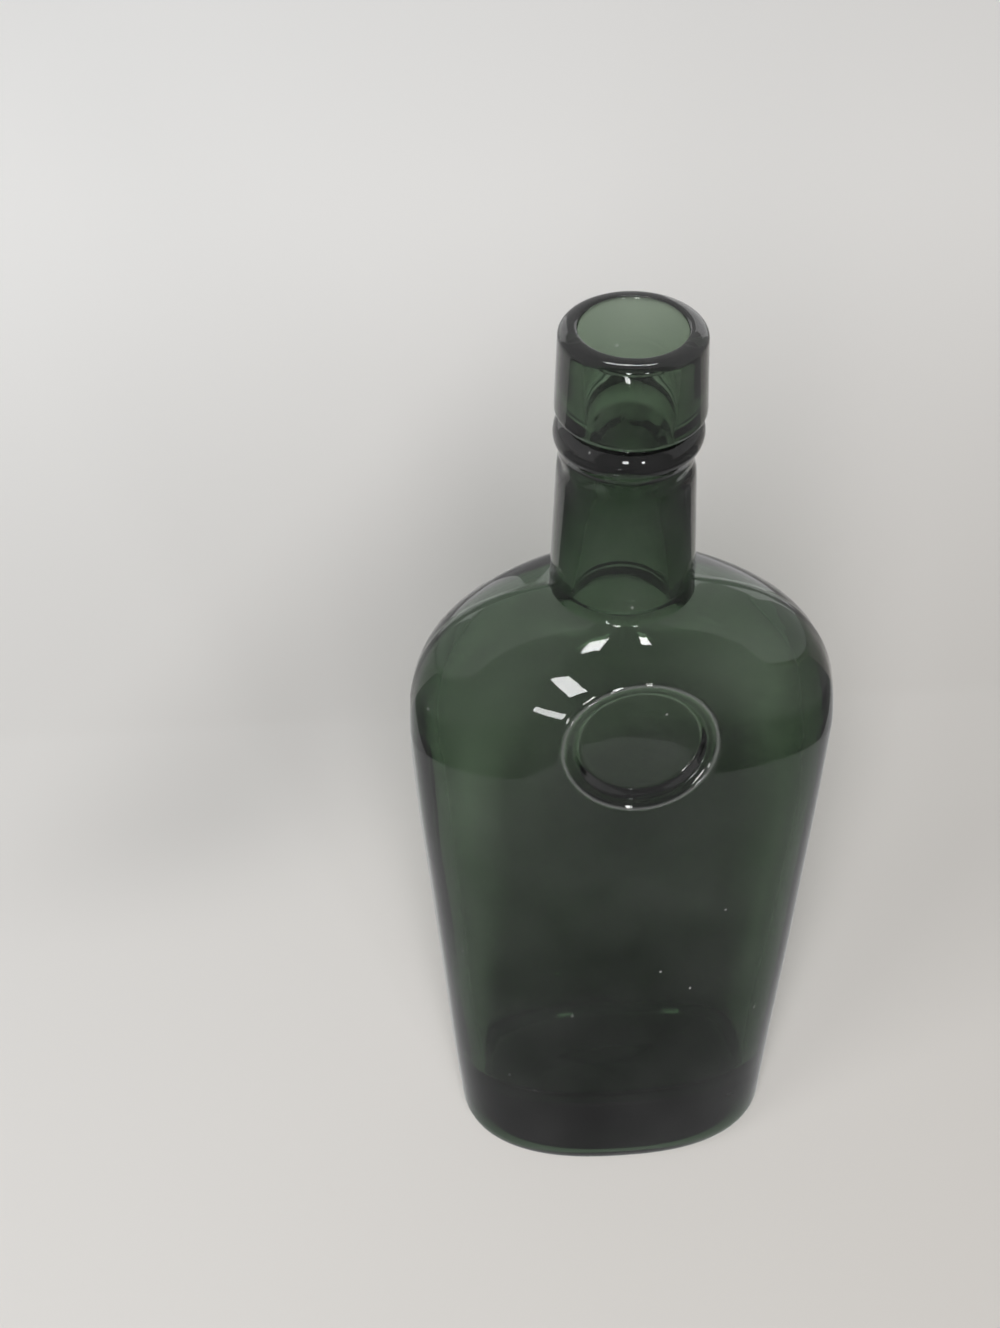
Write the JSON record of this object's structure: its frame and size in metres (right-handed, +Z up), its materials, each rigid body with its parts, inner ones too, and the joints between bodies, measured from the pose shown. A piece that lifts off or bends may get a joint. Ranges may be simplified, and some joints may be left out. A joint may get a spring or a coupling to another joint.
{
  "type": "whisky bottle",
  "caption": "Flattened oval glass flask bottle, widest at the shoulders, with a sunk medallion, a round neck, a string ring and a tall collar round an open mouth.",
  "frame": {"origin": "on the surface the bottle stands on, under the middle of the body", "axes": "+Z up along the neck, X across the wide face, -Y out of the front face with the sunk medallion"},
  "size_m": [0.0952, 0.049, 0.225],
  "materials": {
    "green_glass": "gloss"
  },
  "bodies": {
    "root": {"blown_body": "green_glass", "lip_collar": "green_glass", "string_ring": "green_glass"}
  },
  "joints": []
}
